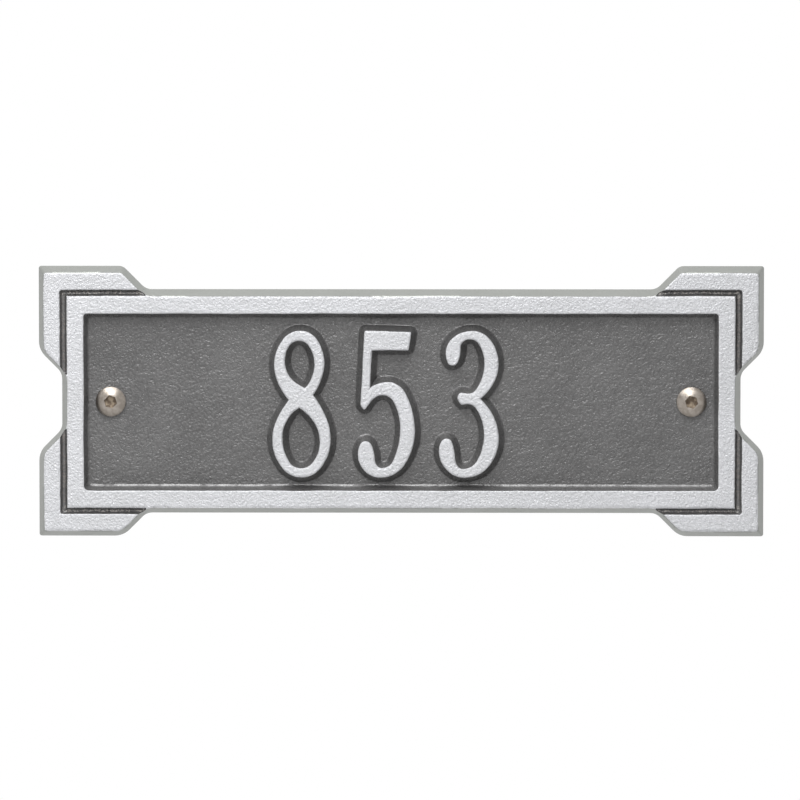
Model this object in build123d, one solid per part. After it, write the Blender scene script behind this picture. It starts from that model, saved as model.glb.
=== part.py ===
from build123d import *
import os
from math import cos, radians, sin, sqrt, tan

# A cast house number plaque, held to a wall by two button-head screws.
# Millimetres and degrees. Drawn lying down, front face up, then stood on edge:
# +X runs along the number, +Z is up, the front looks along -Y and the wall is at Y = 0.

# Back plate of the casting
OVERALL_WIDTH = 254.0
OVERALL_HEIGHT = 94.8
THICKNESS = 8.0
SIDE_DRAFT = 16.0
BRACKET_END_DRAFT = 12.5
CORNER_ROUND = 0.9

# Raised corner brackets, measured on the front face
UPRIGHT_BRACKET_BAND = 5.4
LEVEL_BRACKET_BAND = 5.75
BRACKET_ARM = 27.0
ROUND_AT_TOP_ENDS = 1.2
ROUND_AT_BOTTOM_ENDS = 5.0
ROUND_AT_SIDE_ENDS = 5.0
BLEND_INTO_FRAME = 7.2

# Groove between a bracket and the frame
UPRIGHT_GROOVE_WIDTH = 2.7
LEVEL_GROOVE_WIDTH = 2.4
GROOVE_DEPTH = 1.9
GROOVE_DRAFT = 25.0
GROOVE_RUNOUT = 0.6
GROOVE_CORNER = 1.0
GROOVE_ROOT_ROUND = 0.3

# Raised frame and the sunken field inside it
UPRIGHT_FRAME_BAND = 5.6
LEVEL_FRAME_BAND = 5.9
FIELD_DEPTH = 4.2
FIELD_DRAFT = 20.0
FIELD_LOW_CORNER = 1.8
FIELD_FILLET = 1.2
FACE_EDGE_BREAK = 0.25

# Raised numerals
MARGIN_ABOVE_NUMERALS = 6.3
MARGIN_BELOW_NUMERALS = 4.8
NUMERAL_EDGE_DRAFT = 45.0
NUMERAL_DRAFT = 25.5
NUMERAL_CORNER = 0.3
NUMERAL_FOOT = 0.1
NUMERAL_FOOT_DRAFT = 55.0
EIGHT_PLACE = -34.7
FIVE_PLACE = -5.0
THREE_PLACE = 23.8

# Screws and their holes
SCREW_FROM_END = 25.4
SCREW_HOLE = 6.6
THREAD_DIAMETER = 6.0
NECK_DIAMETER = 5.3
SHANK_LENGTH = 25.0
THREAD_CHAMFER = 0.7
HEAD_DIAMETER = 10.5
HEAD_HEIGHT = 2.6
HEAD_RIM = 0.6
HEAD_TOP_FLAT = 4.7
SOCKET_ACROSS_FLATS = 4.0
SOCKET_DEPTH = 1.8
SOCKET_TURN = -13.0

# Values that follow from the sizes above
SIDE_FLARE = THICKNESS * tan(radians(SIDE_DRAFT))
BRACKET_END_FLARE = THICKNESS * tan(radians(BRACKET_END_DRAFT))
FACE_HALF_WIDTH = OVERALL_WIDTH / 2 - SIDE_FLARE
FACE_HALF_HEIGHT = OVERALL_HEIGHT / 2 - SIDE_FLARE
FRAME_HALF_WIDTH = FACE_HALF_WIDTH - UPRIGHT_BRACKET_BAND - UPRIGHT_GROOVE_WIDTH
FRAME_HALF_HEIGHT = FACE_HALF_HEIGHT - LEVEL_BRACKET_BAND - LEVEL_GROOVE_WIDTH
FIELD_LEVEL = THICKNESS - FIELD_DEPTH
FIELD_HALF_WIDTH = FRAME_HALF_WIDTH - UPRIGHT_FRAME_BAND
FIELD_HALF_HEIGHT = FRAME_HALF_HEIGHT - LEVEL_FRAME_BAND
NUMERAL_BASELINE = MARGIN_BELOW_NUMERALS - FIELD_HALF_HEIGHT
NUMERAL_HEIGHT = FIELD_HALF_HEIGHT - MARGIN_ABOVE_NUMERALS - NUMERAL_BASELINE
SCREW_SPACING = OVERALL_WIDTH - 2 * SCREW_FROM_END
STAND_UP = Rot(X=90)
CORNER_SIDES = [(1, 1), (-1, 1), (-1, -1), (1, -1)]

# Limits for picking edges and faces, for joining headings by one arc and for rounding a corner
ONE_ARC_SHARE = 0.001
SHARP_TURN = 0.9
LEVEL_TOLERANCE = 0.001
UPRIGHT_SHARE = 0.9
WALL_TILT = 0.5

# Numeral outlines, drawn clockwise from the middle of the baseline.
# Each station is x, y and the heading of the outline there, 0 to the right and 90 up.
# A corner has two headings, one coming in and one going out.
# A station with no heading starts a straight run to the next one.
STRAIGHT = 2
EIGHT = [
    (-0.3, 51.0, 0),
    (7.8, 40.0, 270),
    (3.8, 28.7, 234, 308),
    (10.0, 13.3, 270),
    (0.0, 0.0, 180),
    (-10.0, 13.2, 90),
    (-4.2, 26.9, 52, 130),
    (-9.3, 39.3, 90),
]
EIGHT_UPPER_EYE = [
    (-1.0, 47.9, 0),
    (4.7, 39.5, 270),
    (1.2, 30.9, 225, 152),
    (-2.6, 33.2, 142),
    (-6.0, 40.8, 90),
]
EIGHT_LOWER_EYE = [
    (-0.9, 24.5, 35, 330),
    (2.7, 21.5, 315),
    (6.7, 12.3, 270),
    (-0.3, 2.8, 180),
    (-6.8, 14.0, 90),
    (-4.1, 21.7, 54),
]
FIVE = [
    (-7.5, 51.0),
    (8.6, 50.5),
    (7.5, 44.6),
    (-5.2, 44.6),
    (-6.0, 30.67, 270, 40),
    (0.4, 33.0, 0),
    (9.8, 16.1, 270),
    (-1.9, 0.0, 180),
    (-9.8, 8.1, 90),
    (-7.3, 12.4, 0),
    (-4.3, 6.3, 270),
    (-1.4, 2.9, 0),
    (5.1, 17.2, 90),
    (-1.4, 28.8, 180),
    (-5.6, 26.6, 230),
    (-7.6, 23.8, 235, 140),
    (-8.8, 26.0),
]
THREE = [
    (1.0, 51.0, 0),
    (10.2, 39.6, 270),
    (3.8, 27.4, 219, 317),
    (10.3, 13.5, 270),
    (-1.4, 0.0, 180),
    (-10.2, 9.3, 90),
    (-7.7, 13.3, 0),
    (-4.9, 6.5, 270),
    (-1.9, 2.7, 0),
    (5.6, 14.9, 90),
    (-0.9, 25.8),
    (-2.5, 25.6, 187, 135),
    (-3.7, 27.7, 90),
    (-2.3, 29.3),
    (-0.7, 29.05, 351),
    (5.6, 39.9, 90),
    (0.3, 48.4, 180),
    (-3.1, 45.4),
    (-3.1, 44.2, 270),
    (-5.8, 39.2, 180),
    (-8.0, 43.2, 90),
]
DRAWN_HEIGHT = max(station[1] for station in EIGHT)


def heading_vector(heading):
    """A step of length one along a heading."""
    return Vector(cos(radians(heading)), sin(radians(heading)))


def tangent_arcs(start, leaving, end, arriving):
    """Joins two points along both headings by one arc where it fits, and else by two tangent arcs."""
    span = end - start
    along_start = span.dot(leaving)
    along_end = span.dot(arriving)
    if abs(along_start - along_end) < ONE_ARC_SHARE * span.length:
        return [TangentArc(start, end, tangent=leaving)]
    spread = along_start * along_end * (1 - leaving.dot(arriving))
    reach = along_start**2 + along_end**2
    share = span.dot(span) / (reach + sqrt(reach**2 + 2 * spread * span.dot(span)))
    first_control = start + leaving * (share * along_start)
    last_control = end - arriving * (share * along_end)
    joint = first_control + (last_control - first_control) * (along_start / (along_start + along_end))
    return [
        TangentArc(start, joint, tangent=leaving),
        TangentArc(joint, end, tangent=last_control - first_control),
    ]


def outline_face(stations, corner_round):
    """Closes a list of stations into a face as high as the numerals, and rounds its sharp corners."""
    size = NUMERAL_HEIGHT / DRAWN_HEIGHT
    points = [Vector(station[0], station[1]) * size for station in stations]
    runs = [end - start for start, end in zip(points, points[1:] + points[:1])]
    edges = []
    corners = []
    for index, station in enumerate(stations):
        after = (index + 1) % len(stations)
        start = points[index]
        end = points[after]
        following = stations[after]
        onward = runs[after].normalized() if len(following) == STRAIGHT else heading_vector(following[-1])
        if len(station) == STRAIGHT:
            arriving = runs[index].normalized()
            edges.append(Line(start, end))
        else:
            arriving = onward if len(following) == STRAIGHT else heading_vector(following[2])
            edges.extend(tangent_arcs(start, heading_vector(station[-1]), end, arriving))
        if arriving.cross(onward).Z < -SHARP_TURN:
            corners.append(end)
    face = Face(Wire(edges))
    if corner_round:
        for corner in corners:
            face = fillet(face.vertices().sort_by_distance(corner)[0], corner_round)
    return face


def corner_reach(edge):
    """How far out towards the top right corner an edge lies."""
    return edge.center().X + edge.center().Y


def upright_edges(solid, height):
    """The edges that run from the foot to the top of a solid of this height."""
    return solid.edges().filter_by(lambda edge: edge.bounding_box().size.Z > UPRIGHT_SHARE * height)


def drafted_prism(face, bottom, top, angle, drawn_at):
    """A prism between two levels with this outline at one level; a positive angle spreads the foot."""
    prism = extrude(Pos(Z=bottom) * face, top - bottom, dir=(0, 0, 1))
    walls = prism.faces().filter_by(lambda wall: abs(wall.normal_at().Z) < WALL_TILT)
    return draft(walls, Plane.XY.offset(drawn_at), angle)


def plate_outline(flare, end_flare):
    """Outline of the plate: a rectangle that steps out at each corner to form a bracket.

    The sides lie out by one flare and the slanted bracket ends by another.
    """
    side_x = FACE_HALF_WIDTH + flare
    side_y = FACE_HALF_HEIGHT + flare
    frame_x = FRAME_HALF_WIDTH + flare
    frame_y = FRAME_HALF_HEIGHT + flare
    shift = flare - sqrt(2) * end_flare
    arm_x = FACE_HALF_WIDTH - BRACKET_ARM + shift
    arm_y = FACE_HALF_HEIGHT - BRACKET_ARM + shift
    blend = BLEND_INTO_FRAME - flare
    corners = []
    for x_side, y_side in CORNER_SIDES:
        end_round = ROUND_AT_TOP_ENDS if y_side > 0 else ROUND_AT_BOTTOM_ENDS
        bracket = [
            (frame_x, arm_y - side_x + frame_x, blend),
            (side_x, arm_y, ROUND_AT_SIDE_ENDS + flare),
            (side_x, side_y, CORNER_ROUND),
            (arm_x, side_y, end_round + flare),
            (arm_x - side_y + frame_y, frame_y, blend),
        ]
        if x_side != y_side:
            bracket.reverse()
        corners += [(x * x_side, y * y_side, radius) for x, y, radius in bracket]
    points = [(x, y) for x, y, radius in corners]
    radii = [radius for x, y, radius in corners]
    return make_face(FilletPolyline(*points, radius=radii, close=True))


def plate():
    """The plate at its full thickness, its sides spreading out towards the wall."""
    front = Pos(Z=THICKNESS) * plate_outline(0, 0)
    return loft([plate_outline(SIDE_FLARE, BRACKET_END_FLARE), front], ruled=True)


def field_pocket():
    """The sunken field, as the solid that is taken out for it."""
    mouth = Rectangle(2 * FIELD_HALF_WIDTH, 2 * FIELD_HALF_HEIGHT)
    pocket = drafted_prism(mouth, FIELD_LEVEL, THICKNESS, -FIELD_DRAFT, THICKNESS)
    low_corners = upright_edges(pocket, FIELD_DEPTH).sort_by(Axis.Y)[:2]
    pocket = fillet(low_corners, FIELD_LOW_CORNER)
    high_corners = upright_edges(pocket, FIELD_DEPTH).sort_by(Axis.Y)[-2:]
    return fillet(high_corners + pocket.faces().sort_by(Axis.Z)[0].edges(), FIELD_FILLET)


def groove():
    """The groove behind the top right bracket, as the solid that is taken out for it."""
    outer_x = FACE_HALF_WIDTH - UPRIGHT_BRACKET_BAND
    outer_y = FACE_HALF_HEIGHT - LEVEL_BRACKET_BAND
    end_x = FRAME_HALF_WIDTH - BRACKET_ARM - GROOVE_RUNOUT
    end_y = FRAME_HALF_HEIGHT - BRACKET_ARM - GROOVE_RUNOUT
    bend = Polyline(
        (outer_x, end_y),
        (outer_x, outer_y),
        (end_x, outer_y),
        (end_x, FRAME_HALF_HEIGHT),
        (FRAME_HALF_WIDTH, FRAME_HALF_HEIGHT),
        (FRAME_HALF_WIDTH, end_y),
        close=True,
    )
    channel = drafted_prism(make_face(bend), THICKNESS - GROOVE_DEPTH, THICKNESS, -GROOVE_DRAFT, THICKNESS)
    outer_corner = upright_edges(channel, GROOVE_DEPTH).sort_by(corner_reach)[-1]
    channel = fillet(outer_corner, GROOVE_CORNER)
    return fillet(channel.faces().sort_by(Axis.Z)[0].edges(), GROOVE_ROOT_ROUND)


def numeral(outline, eyes, place):
    """A raised numeral in three tiers: a broken edge, drafted walls and a wider foot."""
    face = outline_face(outline, NUMERAL_CORNER)
    for eye in eyes:
        face = face - outline_face(eye, 0)
    face = Pos(place, NUMERAL_BASELINE) * face
    shoulder = THICKNESS - FACE_EDGE_BREAK
    ankle = FIELD_LEVEL + NUMERAL_FOOT
    edge = drafted_prism(face, shoulder, THICKNESS, NUMERAL_EDGE_DRAFT, shoulder)
    stem = drafted_prism(face, ankle, shoulder, NUMERAL_DRAFT, shoulder)
    underside = Pos(Z=-ankle) * stem.faces().sort_by(Axis.Z)[0]
    return edge + stem + drafted_prism(underside, FIELD_LEVEL, ankle, NUMERAL_FOOT_DRAFT, ankle)


def faces_at(body, level):
    """The flat faces that lie level at this height above the wall."""
    level_faces = body.faces().filter_by(Axis.Z)
    return level_faces.filter_by(lambda face: abs(face.center().Z - level) < LEVEL_TOLERANCE)


def casting():
    """Plate, frame, brackets and numerals: one piece of cast metal."""
    body = plate() - field_pocket()
    corner_groove = groove()
    for mirrored in [corner_groove, mirror(corner_groove, Plane.YZ)]:
        body = body - mirrored - mirror(mirrored, Plane.XZ)
    body = chamfer(faces_at(body, THICKNESS).edges(), FACE_EDGE_BREAK)
    body = body + numeral(EIGHT, [EIGHT_UPPER_EYE, EIGHT_LOWER_EYE], EIGHT_PLACE)
    body = body + numeral(FIVE, [], FIVE_PLACE)
    body = body + numeral(THREE, [], THREE_PLACE)
    for place in screw_places():
        body = body - place * extrude(Circle(SCREW_HOLE / 2), FIELD_LEVEL)
    return body


def dome_radius():
    """Radius of the ball that passes through the rim of a screw head and the edge of its top flat."""
    rise = HEAD_HEIGHT - HEAD_RIM
    rim_radius = HEAD_DIAMETER / 2
    flat_radius = HEAD_TOP_FLAT / 2
    centre_below_rim = (rim_radius**2 - flat_radius**2 - rise**2) / (2 * rise)
    return sqrt(rim_radius**2 + centre_below_rim**2)


def screw():
    """A button-head socket screw, its head seated on the field and its thread clear of the plate."""
    thread = THREAD_DIAMETER / 2
    neck = NECK_DIAMETER / 2
    head = HEAD_DIAMETER / 2
    flat = HEAD_TOP_FLAT / 2
    tip = FIELD_LEVEL - SHANK_LENGTH
    rim = FIELD_LEVEL + HEAD_RIM
    crown = FIELD_LEVEL + HEAD_HEIGHT
    shank = Polyline(
        (flat, crown),
        (0, crown),
        (0, tip),
        (thread - THREAD_CHAMFER, tip),
        (thread, tip + THREAD_CHAMFER),
        (thread, 0),
        (neck, 0),
        (neck, FIELD_LEVEL),
        (head, FIELD_LEVEL),
        (head, rim),
    )
    dome = RadiusArc((head, rim), (flat, crown), -dome_radius())
    turned = revolve(Plane.XZ * make_face(shank + dome), Axis.Z)
    hexagon = RegularPolygon(SOCKET_ACROSS_FLATS / 2, 6, major_radius=False, rotation=SOCKET_TURN)
    socket = extrude(Pos(Z=crown - SOCKET_DEPTH) * hexagon, SOCKET_DEPTH)
    return turned - socket


def screw_places():
    """The middle of each screw hole."""
    return [Pos(side * SCREW_SPACING / 2) for side in [-1, 1]]


def screws():
    """The two screws, as separate solids."""
    return Compound([solid for place in screw_places() for solid in (place * screw()).solids()])


os.makedirs("parts", exist_ok=True)
export_step(STAND_UP * casting(), "parts/plaque_casting.step")
export_step(STAND_UP * screws(), "parts/mounting_screws.step")
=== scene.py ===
# %% [markdown]
# # A cast house number plaque
# The object is one aluminium sand casting: a plate with a sunken field, a raised frame, four raised
# corner brackets and three raised numerals. Two button-head screws hold it to a wall. The casting is
# painted dark pewter, and then silver is rolled over everything that stands proud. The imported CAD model
# gives the exact form. This lesson dresses it: a cast skin, rolled paint, ground edges and real screws.

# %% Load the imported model
from math import asin, cos, pi, radians, sin, sqrt

import bpy
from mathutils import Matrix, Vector
from mathutils.kdtree import KDTree


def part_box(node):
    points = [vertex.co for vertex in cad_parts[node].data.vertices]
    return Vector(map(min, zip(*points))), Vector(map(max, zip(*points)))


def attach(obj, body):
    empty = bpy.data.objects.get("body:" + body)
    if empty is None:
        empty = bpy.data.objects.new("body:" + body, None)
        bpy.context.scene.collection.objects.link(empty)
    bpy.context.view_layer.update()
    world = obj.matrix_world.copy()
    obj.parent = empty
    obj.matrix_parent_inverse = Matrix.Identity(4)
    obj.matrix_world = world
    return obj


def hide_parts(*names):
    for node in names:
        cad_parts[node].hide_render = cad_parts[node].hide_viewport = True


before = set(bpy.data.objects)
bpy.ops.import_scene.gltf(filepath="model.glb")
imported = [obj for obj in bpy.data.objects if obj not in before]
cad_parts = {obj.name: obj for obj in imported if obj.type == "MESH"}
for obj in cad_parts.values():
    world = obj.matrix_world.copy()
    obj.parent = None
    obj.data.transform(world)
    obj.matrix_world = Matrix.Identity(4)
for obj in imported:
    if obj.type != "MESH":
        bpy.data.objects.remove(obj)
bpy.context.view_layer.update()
scene = bpy.context.scene
MM = 0.001

# %% [markdown]
# ## Small helpers for modelling
# Every operator works on what is selected, and loading leaves the CAD nodes selected. So each piece
# starts from an empty selection. Faces are picked in code by their place or their normal, which is what a
# person does with a mouse.

# %% Start, edit and finish a piece
def take(piece):
    """Makes one object the active one, with nothing else selected."""
    bpy.ops.object.select_all(action="DESELECT")
    piece.select_set(True)
    bpy.context.view_layer.objects.active = piece


def select_faces(piece, wanted):
    """Selects in edit mode the faces for which wanted(face) is true."""
    bpy.ops.mesh.select_mode(type="FACE")
    bpy.ops.mesh.select_all(action="DESELECT")
    bpy.ops.object.mode_set(mode="OBJECT")
    for face in piece.data.polygons:
        face.select = wanted(face)
    bpy.ops.object.mode_set(mode="EDIT")


def apply_modifier(piece, kind, **settings):
    """Adds a modifier with its settings and applies it."""
    modifier = piece.modifiers.new(kind.title(), kind)
    for name, value in settings.items():
        setattr(modifier, name, value)
    bpy.ops.object.modifier_apply(modifier=modifier.name)


def triangle_count(piece):
    piece.data.calc_loop_triangles()
    return len(piece.data.loop_triangles)

# %% [markdown]
# ## The casting
# Sand leaves a casting with a skin: small soft pebbles, faint wrinkles and edges that wander a little. A
# brush could sculpt that, but it would be slow and hard to repeat. Here a copy of the CAD node gets its
# skin from modifiers. The node is loose triangles, so the copy is merged first. Its stored normals are
# cleared, because they belong to the smooth form, and flat triangles are dissolved into whole faces.

# %% Copy the node and make its faces whole
MERGE_WITHIN = 0.002 * MM
FLAT_WITHIN = radians(0.2)

plaque = bpy.data.objects.new("cast_plaque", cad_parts["plaque_casting"].data.copy())
scene.collection.objects.link(plaque)
plaque.data.materials.clear()
take(plaque)
bpy.ops.mesh.customdata_custom_splitnormals_clear()
bpy.ops.object.mode_set(mode="EDIT")
bpy.ops.mesh.select_all(action="SELECT")
bpy.ops.mesh.remove_doubles(threshold=MERGE_WITHIN)
bpy.ops.mesh.dissolve_limited(angle_limit=FLAT_WITHIN)
bpy.ops.object.mode_set(mode="OBJECT")
print("merged casting:", len(plaque.data.polygons), "faces")

# %% [markdown]
# The outer sides and the back are ground after casting and stay bare metal. A second material slot shows
# them. It is given out now, while each side is still whole. The normal tells a side from the front: a
# side leans back by its draft only, and by a little more where two of them meet at the corner of a
# bracket.

# %% Mark the ground faces
FRONT, GROUND = 0, 1
BEYOND_FIELD_X, BEYOND_FIELD_Z = 113 * MM, 33.5 * MM
CORNER_X, CORNER_Z = 123.5 * MM, 43.9 * MM
LEAST_LEAN, SIDE_LEAN, CORNER_LEAN = -0.15, -0.32, -0.5
BACK_TURN = 0.5


def is_outer_side(face):
    """The drafted outer sides lie beyond the field and lean back less than the walls inside it."""
    along, up = abs(face.center.x), abs(face.center.z)
    beyond_field = along > BEYOND_FIELD_X or up > BEYOND_FIELD_Z
    most_lean = CORNER_LEAN if along > CORNER_X and up > CORNER_Z else SIDE_LEAN
    return beyond_field and most_lean < face.normal.y < LEAST_LEAN


def is_back(face):
    return face.normal.y > BACK_TURN


for face in plaque.data.polygons:
    face.material_index = GROUND if is_outer_side(face) or is_back(face) else FRONT
print("ground faces:", sum(face.material_index == GROUND for face in plaque.data.polygons))

# %% [markdown]
# A modifier moves only the points that are there, so the skin needs small, even cells. Subdividing would
# follow the long faces of the form and stay uneven. A grid of straight cuts gives even cells, and every
# edge of the form stays where it is, because a cut only divides faces. The flat back needs no cells and
# is hidden from the cuts. The grid lies a little off the middle, so that cuts don't run along the edges
# of the form.

# %% Cut the grid
SKIN_CELL = 0.75 * MM
OFF_MIDDLE = 0.01
CUT_WITHIN, SLIVER = 0.001 * MM, 0.03 * MM

bpy.ops.object.mode_set(mode="EDIT")
select_faces(plaque, is_back)
bpy.ops.mesh.hide()
plaque_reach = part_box("plaque_casting")[1]
for axis in (0, 2):
    cells = int(plaque_reach[axis] / SKIN_CELL)
    for step in range(-cells, cells + 1):
        cut_place, cut_normal = Vector(), Vector()
        cut_place[axis] = (step + OFF_MIDDLE) * SKIN_CELL
        cut_normal[axis] = 1
        bpy.ops.mesh.select_all(action="SELECT")
        bpy.ops.mesh.bisect(plane_co=cut_place, plane_no=cut_normal, threshold=CUT_WITHIN)
bpy.ops.mesh.reveal()
bpy.ops.mesh.select_all(action="SELECT")
bpy.ops.mesh.remove_doubles(threshold=SLIVER)
bpy.ops.object.mode_set(mode="OBJECT")
print("cut casting:", len(plaque.data.polygons), "faces,", triangle_count(plaque), "triangles")

# %% [markdown]
# Numerals are set on the pattern by hand, and their walls spread a little towards the field, on some
# sides more than on others. To spread them, each point of a wall needs to know which way leads out of its
# numeral and how far up the wall it sits. The normals of the faces round it give the one, and its level
# gives the other. Levels are millimetres above the back. Points of the field close to a wall follow its
# foot, and so make room for it.

# %% Find the walls of the numerals
NUMERALS_X, NUMERALS_Z = 60 * MM, 28.5 * MM
WALL_TURNS = (-0.9, 0.1)
ON_FLOOR = 0.05


def near_numerals(place):
    return abs(place.x) < NUMERALS_X and abs(place.z) < NUMERALS_Z


points = plaque.data.vertices
levels = [-point.co.y / MM for point in points]
front_level = max(levels)
floor_level = min(levels[point.index] for point in points if near_numerals(point.co) and point.co.y < -MM)
outward = {}
for face in plaque.data.polygons:
    if near_numerals(face.center) and WALL_TURNS[0] < face.normal.y < WALL_TURNS[1]:
        sideways = Vector((face.normal.x, 0, face.normal.z)).normalized()
        for index in face.vertices:
            outward[index] = outward.get(index, Vector()) + sideways
outward = {index: direction.normalized() for index, direction in outward.items()}
rise = {index: (levels[index] - floor_level) / (front_level - floor_level) for index in outward}
feet = [index for index in outward if levels[index] < floor_level + ON_FLOOR]
print("points on the walls:", len(rise), "and at their feet:", len(feet), "on level", round(floor_level, 2))

# %% Let the field beside them follow
ROOM = 1.6 * MM

nearest_foot = KDTree(len(feet))
for index in feet:
    nearest_foot.insert(points[index].co, index)
nearest_foot.balance()
for point in points:
    on_floor = levels[point.index] < floor_level + ON_FLOOR
    if near_numerals(point.co) and on_floor and point.index not in rise:
        _, foot, distance = nearest_foot.find(point.co)
        if distance < ROOM:
            outward[point.index] = outward[foot] * (1 - distance / ROOM)
print("points of the field that make room:", len(outward) - len(rise))

# %% [markdown]
# A Displace modifier without a texture shifts what a vertex group holds, each point by its weight. One
# for each direction spreads the walls. A row of the table holds a direction, its axis and sign, and the
# spread at the top and at the foot of a wall. In between, the weight changes evenly.

# %% Spread the walls
SPREADS = (
    ("east", 0, 1, 0.02 * MM, 0.40 * MM),
    ("west", 0, -1, 0.15 * MM, 0.40 * MM),
    ("north", 2, 1, 0.15 * MM, 0.40 * MM),
    ("south", 2, -1, 0.08 * MM, 0.10 * MM),
)

take(plaque)
for name, axis, sign, at_top, at_foot in SPREADS:
    group = plaque.vertex_groups.new(name=name)
    slope = 1 - at_top / at_foot
    for index, direction in outward.items():
        if sign * direction[axis] > 0:
            group.add([index], sign * direction[axis] * (1 - slope * rise.get(index, 0.0)), "REPLACE")
    apply_modifier(
        plaque, "DISPLACE", direction="XYZ"[axis], strength=sign * at_foot, mid_level=0.0, vertex_group=name
    )
print("spread at the feet in mm:", {row[0]: round(row[-1] / MM, 2) for row in SPREADS})

# %% [markdown]
# Paint runs into inner corners and dries thick and glossy there. In those that face up, along the lower
# wall of the field, above the numerals and in the level grooves, it catches the light from above in thin
# bright lines. A shader can't find a corner by itself. So the mesh carries two attributes for it: the
# level of each point, and a share of gloss for the points just above a floor, more the more they face up.

# %% Note the levels and the glossy corners
GROOVE_LEVEL = 6.1
FRAME_X, FIELD_ASPECT = 114 * MM, 3.3
CORNER_START, CORNER_IN_GROOVE, CORNER_IN_FIELD = 0.02, 0.4, 0.8
GLOSS_GAIN = 4

foot_points = set(feet)


def clamped(value):
    return max(0.0, min(1.0, value))


def gloss(point):
    """The share of gloss at a point: zero outside the inner corners and in those that don't face up."""
    beside_frame = max(abs(point.co.x), FIELD_ASPECT * abs(point.co.z)) > FRAME_X
    lowest, reach = (GROOVE_LEVEL, CORNER_IN_GROOVE) if beside_frame else (floor_level, CORNER_IN_FIELD)
    in_corner = CORNER_START < levels[point.index] - lowest < reach or point.index in foot_points
    return clamped(GLOSS_GAIN * point.normal.z) if in_corner else 0.0


corners = [gloss(point) for point in plaque.data.vertices]
for name, values in (("height", levels), ("corner", corners)):
    plaque.data.attributes.new(name, "FLOAT", "POINT").data.foreach_set("value", values)
print("points in glossy corners:", sum(value > 0 for value in corners), "of", len(corners))

# %% [markdown]
# The skin is real relief, because it shows on every edge, where a bump can't. Two Displace modifiers push
# the front in along its normals, one for the pebbles and one for slow hollows. Two more shift it
# sideways, so that edges wander as on a hand-finished casting. Vertex groups hold the back, the ground
# sides and the seats of the screws still.

# %% Hold the seats and the ground sides still
HEAD_RADIUS = 5.25 * MM
SEAT = HEAD_RADIUS + 0.4 * MM
DRIFT_FROM, DRIFT_OVER = 3.0, 3.0

screw_low, screw_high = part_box("mounting_screws")
SCREW_X = screw_high.x - HEAD_RADIUS
skin = plaque.vertex_groups.new(name="skin")
drift = plaque.vertex_groups.new(name="drift")
ground_faces = [face for face in plaque.data.polygons if face.material_index == GROUND]
ground_points = {index for face in ground_faces for index in face.vertices}
free = 0
for point in plaque.data.vertices:
    from_screw = Vector((abs(point.co.x) - SCREW_X, point.co.z)).length
    if point.index not in ground_points and from_screw >= SEAT:
        skin.add([point.index], 1.0, "REPLACE")
        free += 1
    drift.add([point.index], clamped((levels[point.index] - DRIFT_FROM) / DRIFT_OVER), "REPLACE")
print("points free to take the skin:", free)

# %% Raise the cast skin
CAST_EDGE = radians(60)


def clouds(name, size, depth):
    """A procedural cloud texture for a Displace modifier."""
    texture = bpy.data.textures.new(name, "CLOUDS")
    texture.noise_scale = size
    texture.noise_depth = depth
    return texture


take(plaque)
for name, size, depth, strength, direction, group, middle in (
    ("pebbles", 1.9 * MM, 2, 0.06 * MM, "NORMAL", "skin", 1.0),
    ("hollows", 9.0 * MM, 1, 0.10 * MM, "NORMAL", "skin", 1.0),
    ("drift_x", 13.0 * MM, 1, 0.30 * MM, "X", "drift", 0.5),
    ("drift_z", 11.0 * MM, 1, 0.30 * MM, "Z", "drift", 0.5),
):
    apply_modifier(
        plaque,
        "DISPLACE",
        texture=clouds(name, size, depth),
        texture_coords="LOCAL",
        strength=strength,
        direction=direction,
        vertex_group=group,
        mid_level=middle,
    )
bpy.ops.object.shade_smooth_by_angle(angle=CAST_EDGE)
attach(plaque, "root")
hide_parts("plaque_casting")
print("casting with its skin:", triangle_count(plaque), "triangles")

# %% [markdown]
# ## The screws
# A button-head screw is turned: a chamfered tip, a core for the thread, a neck, and a domed head with a
# flat crown. Its outline is a list of radii and places along the axis. The dome is a piece of a ball,
# which is fixed by the edge of the rim and the edge of the crown.

# %% Draw the outline of a screw
HEAD_HEIGHT, HEAD_RIM = 2.6 * MM, 0.95 * MM
CROWN_RADIUS, NECK_RADIUS = 2.35 * MM, 2.65 * MM
THREAD_RADIUS, CORE_RADIUS = 3.0 * MM, 2.42 * MM
TIP_RADIUS, TIP_LENGTH = CORE_RADIUS - 0.6 * MM, 0.7 * MM
NECK_TAPER, RIM_BREAK = 0.4 * MM, 0.12 * MM
DOME_RINGS = 14
FIELD_Y = screw_low.y + HEAD_HEIGHT
TIP_Y = screw_high.y

dome_height = HEAD_HEIGHT - HEAD_RIM
ball_below_rim = (HEAD_RADIUS**2 - CROWN_RADIUS**2 - dome_height**2) / (2 * dome_height)
ball_radius = sqrt(HEAD_RADIUS**2 + ball_below_rim**2)
outline = [
    (CORE_RADIUS, TIP_Y - TIP_LENGTH),
    (CORE_RADIUS, NECK_TAPER),
    (NECK_RADIUS, 0.0),
    (NECK_RADIUS, FIELD_Y),
    (HEAD_RADIUS - RIM_BREAK, FIELD_Y),
    (HEAD_RADIUS, FIELD_Y - RIM_BREAK),
]
rim_angle = asin(HEAD_RADIUS / ball_radius)
crown_angle = asin(CROWN_RADIUS / ball_radius)
for ring in range(DOME_RINGS + 1):
    angle = rim_angle + (crown_angle - rim_angle) * ring / DOME_RINGS
    height = HEAD_RIM + ball_radius * cos(angle) - ball_below_rim
    outline.append((ball_radius * sin(angle), FIELD_Y - height))
print("outline of a screw:", len(outline), "rings, dome radius", round(ball_radius / MM, 2), "mm")

# %% [markdown]
# A spin of the outline would make the same form. Here a disc at the tip is extruded ring by ring, which
# is how a person builds a round piece by hand, and it leaves no seam to close. Each ring is moved along
# the axis and then scaled to its radius.

# %% Turn the screw
SIDES = 96


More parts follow.
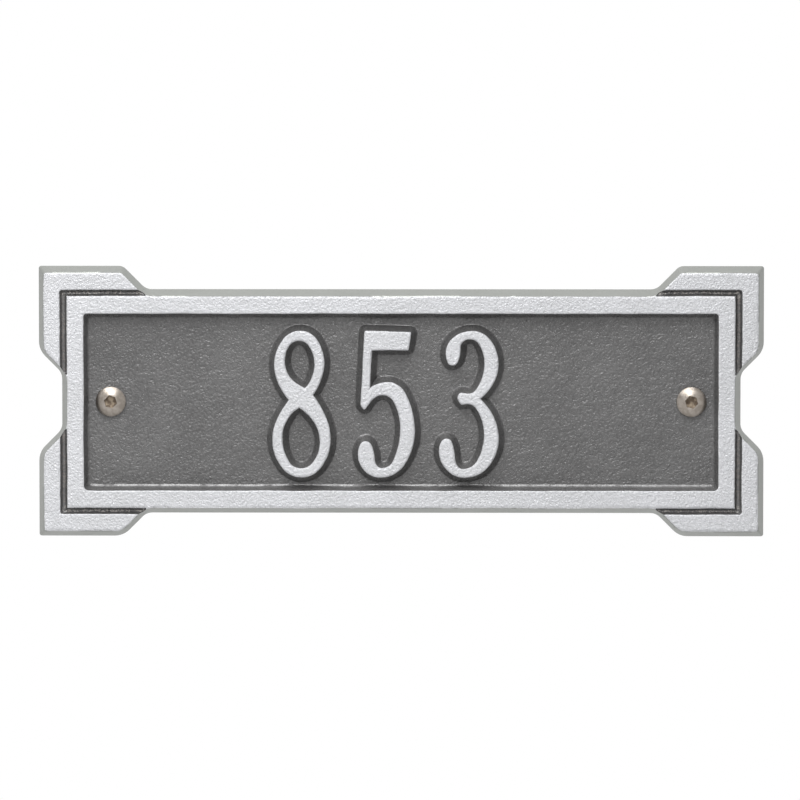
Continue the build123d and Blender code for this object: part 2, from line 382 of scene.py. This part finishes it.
def ring_out(radius_ratio, forwards):
    """Extrudes the selected ring forwards and then scales it about the axis of the screw."""
    bpy.ops.mesh.extrude_region_move(TRANSFORM_OT_translate={"value": (0, -forwards, 0)})
    bpy.ops.transform.resize(value=(radius_ratio, 1, radius_ratio), center_override=(0, 0, 0))


bpy.ops.object.select_all(action="DESELECT")
bpy.ops.mesh.primitive_circle_add(
    vertices=SIDES, radius=TIP_RADIUS, fill_type="NGON", location=(0, TIP_Y, 0), rotation=(pi / 2, 0, 0)
)
screw = bpy.context.object
screw.name = "wall_screw"
bpy.ops.object.transform_apply(location=True, rotation=True, scale=True)
bpy.ops.object.mode_set(mode="EDIT")
bpy.ops.mesh.select_all(action="SELECT")
ring_radius, ring_y = TIP_RADIUS, TIP_Y
for next_radius, next_y in outline:
    ring_out(next_radius / ring_radius, ring_y - next_y)
    ring_radius, ring_y = next_radius, next_y
bpy.ops.mesh.select_all(action="SELECT")
bpy.ops.mesh.normals_make_consistent(inside=False)
bpy.ops.object.mode_set(mode="OBJECT")
print("turned screw:", len(screw.data.polygons), "faces")

# %% [markdown]
# The hexagon socket is pressed into the crown with a punch. A six-sided cutter in the punch's place and a
# boolean do the same. A small bevel then gives every sharp edge the bright line of worked steel.

# %% Press the socket
SOCKET_FLATS, SOCKET_DEPTH = 4.0 * MM, 1.8 * MM
SOCKET_TURN = radians(17)
EDGE_BEVEL, SHARP_EDGE = 0.09 * MM, radians(40)
CROWN_Y = FIELD_Y - HEAD_HEIGHT

bpy.ops.object.select_all(action="DESELECT")
bpy.ops.mesh.primitive_cylinder_add(
    vertices=6,
    radius=SOCKET_FLATS / 2 / cos(pi / 6),
    depth=2 * SOCKET_DEPTH,
    location=(0, CROWN_Y, 0),
    rotation=(pi / 2, -SOCKET_TURN, 0),
)
cutter = bpy.context.object
bpy.ops.object.transform_apply(location=True, rotation=True, scale=True)
take(screw)
apply_modifier(screw, "BOOLEAN", object=cutter, operation="DIFFERENCE", solver="EXACT")
bpy.data.objects.remove(cutter)
apply_modifier(screw, "BEVEL", width=EDGE_BEVEL, segments=2, limit_method="ANGLE", angle_limit=SHARP_EDGE)
print("screw with socket:", triangle_count(screw), "triangles")

# %% [markdown]
# The thread shows only from behind, but a plain rod would look wrong there. Cutting it with a boolean
# would be slow and fragile. Instead one ridge is wound round the core: a plane is narrowed to the section
# of the ridge, its face is taken away, and a Screw modifier winds the outline that is left.

# %% Wind the thread
TURNS, PITCH = 19, 1.0 * MM
TURN_STEPS = 32
THREAD_START = 0.6 * MM
RIDGE_SINK = 0.1 * MM
FOOT_SHARE, CREST_SHARE = 0.84, 0.16

ridge_depth = THREAD_RADIUS - CORE_RADIUS + RIDGE_SINK
ridge_middle = THREAD_RADIUS - ridge_depth / 2
bpy.ops.object.select_all(action="DESELECT")
bpy.ops.mesh.primitive_plane_add(size=1)
ridge = bpy.context.object
bpy.ops.object.mode_set(mode="EDIT")
bpy.ops.transform.resize(value=(ridge_depth, FOOT_SHARE * PITCH, 1))
bpy.ops.transform.translate(value=(ridge_middle, THREAD_START, 0))
bpy.ops.mesh.select_mode(type="VERT")
bpy.ops.mesh.select_all(action="DESELECT")
bpy.ops.object.mode_set(mode="OBJECT")
for point in ridge.data.vertices:
    point.select = point.co.x > ridge_middle
bpy.ops.object.mode_set(mode="EDIT")
bpy.ops.transform.resize(value=(1, CREST_SHARE, 1), center_override=(0, THREAD_START, 0))
bpy.ops.mesh.select_all(action="SELECT")
bpy.ops.mesh.delete(type="ONLY_FACE")
bpy.ops.object.mode_set(mode="OBJECT")
apply_modifier(
    ridge, "SCREW", axis="Y", screw_offset=PITCH, iterations=TURNS, steps=TURN_STEPS, render_steps=TURN_STEPS
)
bpy.ops.object.mode_set(mode="EDIT")
bpy.ops.mesh.select_all(action="SELECT")
bpy.ops.mesh.fill_holes(sides=4)
bpy.ops.mesh.select_all(action="SELECT")
bpy.ops.mesh.normals_make_consistent(inside=False)
bpy.ops.object.mode_set(mode="OBJECT")
print("wound ridge:", triangle_count(ridge), "triangles")

# %% Join the thread to the screw
TURNED_EDGE = radians(35)

take(screw)
ridge.select_set(True)
bpy.ops.object.join()
bpy.ops.object.shade_smooth_by_angle(angle=TURNED_EDGE)
print("screw with thread:", triangle_count(screw), "triangles")

# %% [markdown]
# The two screws are alike, so the second is a copy with its own mesh. Their places come from the packed
# model. Each place is applied to the mesh, so that the object stays at the origin and patterns on Object
# coordinates stay where they are.

# %% Set one screw in each hole
screws = [screw, screw.copy()]
screws[1].data = screw.data.copy()
scene.collection.objects.link(screws[1])
for piece, name, side in zip(screws, ("wall_screw_left", "wall_screw_right"), (-1, 1)):
    piece.name = name
    take(piece)
    bpy.ops.transform.translate(value=(side * SCREW_X, 0, 0))
    bpy.ops.object.transform_apply(location=True, rotation=True, scale=True)
    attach(piece, "root")
    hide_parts("mounting_screws")
print("screws set in mm from the middle:", [round(side * SCREW_X / MM, 1) for side in (-1, 1)])

# %% [markdown]
# ## Shader maths
# A node tree is easier to read as arithmetic. The class below wraps one output socket. Adding or
# multiplying two of them adds a Math node, and `node` makes any other node from its type, its settings
# and its sockets.

# %% A socket that can be used like a number
class Shade:
    def __init__(self, tree, socket=None):
        self.tree, self.socket = tree, socket

    def node(self, kind, settings, sockets, output=0):
        made = self.tree.nodes.new("ShaderNode" + kind)
        for name, value in settings.items():
            setattr(made, name, value)
        for name, value in sockets.items():
            if isinstance(value, Shade):
                self.tree.links.new(value.socket, made.inputs[name])
            else:
                made.inputs[name].default_value = value
        return Shade(self.tree, made.outputs[output])

    def math(self, operation, first, second=0.0):
        return self.node("Math", {"operation": operation}, {0: first, 1: second})

    def __add__(self, other):
        return self.math("ADD", self, other)

    def __sub__(self, other):
        return self.math("SUBTRACT", self, other)

    def __rsub__(self, other):
        return self.math("SUBTRACT", other, self)

    def __mul__(self, other):
        return self.math("MULTIPLY", self, other)

    __radd__ = __add__
    __rmul__ = __mul__

    def blend(self, first, last):
        """Goes evenly from first to last as the value goes from zero to one."""
        return self * (last - first) + first

    def ramp(self, low, high, first=0.0, last=1.0):
        """Goes smoothly from first to last as the value goes from low to high."""
        sockets = {"Value": self, 1: low, 2: high, 3: first, 4: last}
        return self.node("MapRange", {"interpolation_type": "SMOOTHSTEP"}, sockets)

    def between(self, first, last):
        """Mixes two colours by this value."""
        sockets = {"Factor": self, 6: first, 7: last}
        return self.node("Mix", {"data_type": "RGBA"}, sockets, output=2)

# %% Start and feed a material
def start_material(name):
    """A new material, with its surface shader, a start for its nodes and its Object coordinates."""
    material = bpy.data.materials.new(name)
    material.use_nodes = True
    tree = material.node_tree
    surface = next(node for node in tree.nodes if node.type == "BSDF_PRINCIPLED")
    start = Shade(tree)
    return material, surface, start, start.node("TexCoord", {}, {}, output=3)


def noise(coords, scale, detail, roughness=0.5):
    """Noise that swings round zero."""
    sockets = {"Vector": coords, "Scale": scale, "Detail": detail, "Roughness": roughness}
    return coords.node("TexNoise", {}, sockets) - 0.5


def axes(coords):
    """The three coordinates one by one."""
    split = coords.node("SeparateXYZ", {}, {0: coords})
    return [Shade(coords.tree, output) for output in split.socket.node.outputs]


def feed(surface, **values):
    """Sets or links the sockets of a surface shader; an underscore stands for a space."""
    for name, value in values.items():
        socket = surface.inputs[name.replace("_", " ")]
        if isinstance(value, Shade):
            value.tree.links.new(value.socket, socket)
        else:
            socket.default_value = value

# %% [markdown]
# ## Paint on the casting
# Pewter paint covers the whole front, and silver is rolled on afterwards. Painting a picture of that
# would fix it to one set of edges. Patterns that are worked out from place and level stay sharp and fit
# any edge. Five of them are used: the slanting wrinkles and the pebbles of the sand, the fine specks that
# a roller leaves, slow patches of tone, and a wander for the edge of the silver.

# %% Patterns in the paint
WRINKLE_TURN, WRINKLE_STRETCH = radians(-35), 1.7

material, surface, start, coords = start_material("silver_over_pewter")
slant = start.node(
    "Mapping",
    {"vector_type": "TEXTURE"},
    {"Vector": coords, "Rotation": (0, WRINKLE_TURN, 0), "Scale": (WRINKLE_STRETCH, 1.0, 1.0)},
)
wrinkles = noise(slant, scale=450.0, detail=3.0, roughness=0.6)
pebbles = noise(coords, scale=1100.0, detail=2.0, roughness=0.6)
specks = noise(coords, scale=1700.0, detail=1.0)
patches = noise(coords, scale=45.0, detail=2.0)
wander = noise(coords, scale=320.0, detail=2.0)
print("pattern nodes:", len(material.node_tree.nodes))

# %% [markdown]
# A roller touches only what stands proud, so the level tells silver from pewter, with some wander along
# each edge. On the numerals the roller reaches a little further over. The same levels find the walls and
# the floor of the grooves. The longer of two distances from the middle, with the upright one stretched by
# the field's proportion, tells field, frame and brackets apart.

# %% Where each paint lies
SILVER_LEVELS, EDGE_WANDER, ROLLED_OVER = (7.55, 7.70), 0.5, 0.15
NUMERALS_END = (94 * MM, 98 * MM)
FRAME_EDGE = (113.5 * MM, 114.5 * MM)
GROOVE_LEVELS = (6.15, 6.45)
WALL_FOOT, WALL_TOP = (3.9, 4.3), (7.2, 7.7)

level = start.node("Attribute", {"attribute_name": "height"}, {}, output="Fac")
corner = start.node("Attribute", {"attribute_name": "corner"}, {}, output="Fac")
across, _, upright = axes(coords)
from_middle = start.math("ABSOLUTE", across)
above_middle = start.math("ABSOLUTE", upright) * FIELD_ASPECT
farther = start.math("MAXIMUM", from_middle, above_middle)
on_numerals = farther.ramp(*NUMERALS_END, 1.0, 0.0)
in_groove = farther.ramp(*FRAME_EDGE) * level.ramp(*GROOVE_LEVELS, 1.0, 0.0)
rolled = (level + wander * EDGE_WANDER + on_numerals * ROLLED_OVER).ramp(*SILVER_LEVELS)
on_wall = level.ramp(*WALL_FOOT) * level.ramp(*WALL_TOP, 1.0, 0.0)
print("nodes with the masks:", len(material.node_tree.nodes))

# %% [markdown]
# Relief that is finer than the cells of the mesh is a bump. Pairs of depths give it in millimetres, first
# on pewter and then on silver, where paint fills the wrinkles and the roller adds its specks. It is
# calmer on walls and in glossy corners, which are smoother. In the grooves bare flecks show through. In
# the level grooves they are painted brighter, as a painted highlight for light from above.

# %% Relief and colour of the paint
WRINKLE_DEPTHS, PEBBLE_DEPTHS, SPECK_DEPTHS = (0.43, 0.04), (0.45, 0.43), (0.0, 0.30)
CALM_IN_CORNERS, CALM_ON_WALLS = 0.2, 0.5
PEBBLE_TONE, WRINKLE_TONE, PATCH_TONE, TONE_SWING = 0.5, 0.2, 0.3, (-0.15, 0.15)
DARK_PEWTER, PALE_PEWTER = (0.095, 0.0935, 0.0935, 1), (0.140, 0.138, 0.138, 1)
# The level-groove fleck colour is a painted highlight: it is brighter than the upright one for light from
# above.
UPRIGHT_FLECK, LEVEL_FLECK_PAINTED_HIGHLIGHT = (0.165, 0.15, 0.14, 1), (0.34, 0.32, 0.30, 1)
DARK_SILVER, PALE_SILVER = (0.575, 0.58, 0.596, 1), (0.645, 0.65, 0.674, 1)
FLECK_SPECKS, FLECK_CHANGE = (-0.02, 0.12), 4 * MM

coarse = wrinkles * rolled.blend(*WRINKLE_DEPTHS) + pebbles * rolled.blend(*PEBBLE_DEPTHS)
relief = coarse + specks * rolled.blend(*SPECK_DEPTHS)
calmed = relief * (1.0 - corner * CALM_IN_CORNERS - on_wall * CALM_ON_WALLS)
mottle = pebbles * PEBBLE_TONE + wrinkles * WRINKLE_TONE + patches * PATCH_TONE
tone = mottle.ramp(*TONE_SWING)
plain = tone.between(DARK_PEWTER, PALE_PEWTER)
# Groove flecks with a painted highlight: brighter in the level grooves than in the upright ones.
fleck_and_painted_highlight = (above_middle - from_middle).ramp(0.0, FLECK_CHANGE).between(UPRIGHT_FLECK, LEVEL_FLECK_PAINTED_HIGHLIGHT)
pewter = (in_groove * specks.ramp(*FLECK_SPECKS)).between(plain, fleck_and_painted_highlight)
silver = tone.between(DARK_SILVER, PALE_SILVER)
print("nodes with relief and colour:", len(material.node_tree.nodes))

# %% Feed the paint
PAINT_ROUGHNESS, CORNER_ROUGHNESS = (0.25, 0.35), 0.08
PAINT_METALLIC = (0.25, 0.10)
GLOSS_BREAKS = (-0.14, 0.04)

feed(
    surface,
    Base_Color=rolled.between(pewter, silver),
    Roughness=rolled.blend(*PAINT_ROUGHNESS) + corner * CORNER_ROUGHNESS,
    Metallic=rolled.blend(*PAINT_METALLIC),
    Coat_Weight=corner * wander.ramp(*GLOSS_BREAKS),
    Coat_Roughness=0.12,
    Normal=start.node("Bump", {}, {"Strength": 1.0, "Distance": MM, "Height": calmed}),
)
plaque.data.materials.append(material)
print("paint nodes:", len(material.node_tree.nodes))

# %% [markdown]
# ## Ground sides
# A grinding belt leaves the sides bare and dull, with fine marks and slow changes of tone. They show as
# narrow bands, so a metal with one fine and one slow noise is enough, and the fine one is also a shallow
# bump.

# %% Bare ground metal
DARK_GROUND, PALE_GROUND = (0.255, 0.264, 0.247, 1), (0.29, 0.299, 0.282, 1)
GROUND_SWING = (-0.4, 0.4)
MARK_DEPTH = 0.04 * MM

material, surface, start, coords = start_material("ground_sides")
marks = noise(coords, scale=900.0, detail=2.0)
dull_patches = noise(coords, scale=60.0, detail=2.0)
tone = (marks + dull_patches).ramp(*GROUND_SWING)
feed(
    surface,
    Base_Color=tone.between(DARK_GROUND, PALE_GROUND),
    Roughness=0.4,
    Metallic=0.7,
    Normal=start.node("Bump", {}, {"Strength": 0.3, "Distance": MARK_DEPTH, "Height": marks}),
)
plaque.data.materials.append(material)
print("side nodes:", len(material.node_tree.nodes))

# %% [markdown]
# ## Stainless steel
# The heads are plain stainless steel, warm in tone and a little smudged. Their sockets are painted darker
# and browner, more so deeper down: partly grime, partly painted shade for the deep recess. There they are
# also rougher and hardly metallic. Distance from the axis of the nearer screw and depth below the crown
# find the socket, so both screws share the material.

# %% Steel heads with grime and painted shade in their sockets
SOCKET_EDGE = (2.3 * MM, 2.4 * MM)
GRIME_AND_SHADE_FROM, GRIME_AND_SHADE_FULL = CROWN_Y + 0.3 * MM, CROWN_Y + 0.9 * MM
SMUDGED_STEEL, CLEAN_STEEL = (0.25, 0.222, 0.194, 1), (0.335, 0.302, 0.27, 1)
# Socket colours: grime plus painted shade for the recess, darker deeper down.
DARK_GRIME_AND_SHADE, PALE_GRIME_AND_SHADE = (0.13, 0.095, 0.065, 1), (0.38, 0.31, 0.23, 1)
STEEL_SWING, GRIME_AND_SHADE_SWING = (-0.15, 0.15), (-0.1, 0.1)
STEEL_ROUGHNESS, SMUDGE_ROUGHNESS, GRIME_ROUGHNESS = 0.325, 0.15, 0.25
STEEL_METALLIC, GRIME_METALLIC = 1.0, 0.3

material, surface, start, coords = start_material("stainless_steel")
smudge = noise(coords, scale=600.0, detail=3.0)
across, deep, upright = axes(coords)
from_axis = start.math("ABSOLUTE", across) - SCREW_X
off_axis = start.math("SQRT", from_axis * from_axis + upright * upright)
in_socket = off_axis.ramp(*SOCKET_EDGE, 1.0, 0.0) * deep.ramp(GRIME_AND_SHADE_FROM, GRIME_AND_SHADE_FULL)
steel = smudge.ramp(*STEEL_SWING).between(SMUDGED_STEEL, CLEAN_STEEL)
# The socket colour holds grime and painted shade.
grime_and_shade = smudge.ramp(*GRIME_AND_SHADE_SWING).between(DARK_GRIME_AND_SHADE, PALE_GRIME_AND_SHADE)
feed(
    surface,
    Base_Color=in_socket.between(steel, grime_and_shade),
    Roughness=smudge * SMUDGE_ROUGHNESS + STEEL_ROUGHNESS + in_socket * GRIME_ROUGHNESS,
    Metallic=in_socket.blend(STEEL_METALLIC, GRIME_METALLIC),
)
for piece in screws:
    piece.data.materials.clear()
    piece.data.materials.append(material)
print("steel nodes:", len(material.node_tree.nodes))

# %% [markdown]
# ## Floor and world
# The photograph shows the plaque alone on white. More light would bleach the paint along with the
# background. So floor and world are white only for the camera and for reflections, which a Light Path
# node can tell. For light on its way to the object the floor is plain pale paint, and the world is dim.

# %% Lay the floor
FLOOR_Z, FLOOR_SIZE = -0.3, 12
WHITE, PALE = (1, 1, 1, 1), (0.8, 0.8, 0.8, 1)

bpy.ops.object.select_all(action="DESELECT")
bpy.ops.mesh.primitive_plane_add(size=FLOOR_SIZE, location=(0, 0, FLOOR_Z))
floor = bpy.context.object
floor.name = "pale_floor"


def seen_directly(start):
    """One for rays from the camera and for reflections, and zero for light on its way to the object."""
    paths = start.node("LightPath", {}, {}).socket.node.outputs
    camera, glossy, through = [
        Shade(start.tree, paths[name]) for name in ("Is Camera Ray", "Is Glossy Ray", "Is Transmission Ray")
    ]
    return start.math("MAXIMUM", start.math("MAXIMUM", camera, glossy), through)


material, surface, start, _ = start_material("pale_floor")
feed(surface, Base_Color=PALE, Roughness=0.9)
painted = Shade(start.tree, surface.outputs[0])
glow = start.node("Emission", {}, {"Color": WHITE, "Strength": 1.0})
mixed = start.node("MixShader", {}, {0: seen_directly(start), 1: painted, 2: glow})
end = next(node for node in material.node_tree.nodes if node.type == "OUTPUT_MATERIAL")
material.node_tree.links.new(mixed.socket, end.inputs["Surface"])
floor.data.materials.append(material)
print("floor nodes:", len(material.node_tree.nodes))

# %% Light the world
WORLD_DIM, WORLD_SEEN = 0.12, 1.0

world = bpy.data.worlds.new("white_studio")
world.use_nodes = True
scene.world = world
backdrop = next(node for node in world.node_tree.nodes if node.type == "BACKGROUND")
feed(backdrop, Color=WHITE, Strength=seen_directly(Shade(world.node_tree)).blend(WORLD_DIM, WORLD_SEEN))
print("world nodes:", len(world.node_tree.nodes))

# %% [markdown]
# ## Lamps
# A lamp does two things: it lights flat faces, and it puts glints on edges. The light in the photograph
# is soft and comes from above and from the left, and its glints are strong. So the key lamp and the front
# fill look past the left end of the plaque. Less of their light reaches the faces, and their glints stay
# bright. The two lamps above light the sides and walls that face up, and a faint one below stands for
# light from a table.

# %% Hang the lamps
def softbox(name, place, target, size, watts):
    """An area lamp that looks at a target; the camera looks past it."""
    lamp = bpy.data.lights.new(name, "AREA")
    lamp.shape = "RECTANGLE"
    lamp.size, lamp.size_y = size
    lamp.energy = watts
    box = bpy.data.objects.new(name, lamp)
    scene.collection.objects.link(box)
    box.location = place
    box.rotation_euler = (Vector(target) - Vector(place)).to_track_quat("-Z", "Y").to_euler()
    box.visible_camera = False


softbox("key_softbox", (-0.160, -0.905, 0.771), (-1.30, 0.0, -0.10), (0.6, 0.6), 7.8)
softbox("front_fill", (-0.10, -1.00, 0.30), (-1.10, 0.0, 0.0), (0.6, 0.6), 0.8)
softbox("top_softbox", (-0.18, -0.49, 0.755), (-0.10, 0.0, 0.0), (0.9, 0.32), 4.6)
softbox("overhead", (-0.20, -0.05, 0.85), (-0.20, 0.0, 0.0), (0.9, 0.5), 6.0)
softbox("table_bounce", (-0.10, -0.35, -0.28), (-0.05, 0.0, 0.0), (0.6, 0.4), 0.3)

# %% [markdown]
# ## Camera
# The photograph is taken almost straight on, from a little above and a little to the right, and from so
# far that near and far edges keep nearly the same scale. A long lens at about two metres gives that. Its
# length follows from the width that the picture spans at the plaque.

# %% Set the camera
AIM = Vector((-0.28, -8.0, 0.84)) * MM
AZIMUTH, ELEVATION = radians(0.8), radians(3.3)
DISTANCE, PICTURE_WIDTH = 2.2, 279.45 * MM
SENSOR_WIDTH = 36

towards = Vector((sin(AZIMUTH) * cos(ELEVATION), -cos(AZIMUTH) * cos(ELEVATION), sin(ELEVATION)))
camera_data = bpy.data.cameras.new("photo_camera")
camera_data.sensor_width = SENSOR_WIDTH
camera_data.lens = SENSOR_WIDTH * DISTANCE / PICTURE_WIDTH
camera = bpy.data.objects.new("photo_camera", camera_data)
scene.collection.objects.link(camera)
camera.location = AIM + towards * DISTANCE
camera.rotation_euler = (-towards).to_track_quat("-Z", "Y").to_euler()
scene.camera = camera
scene.view_settings.view_transform = "Standard"
print("lens in mm:", round(camera_data.lens, 1))
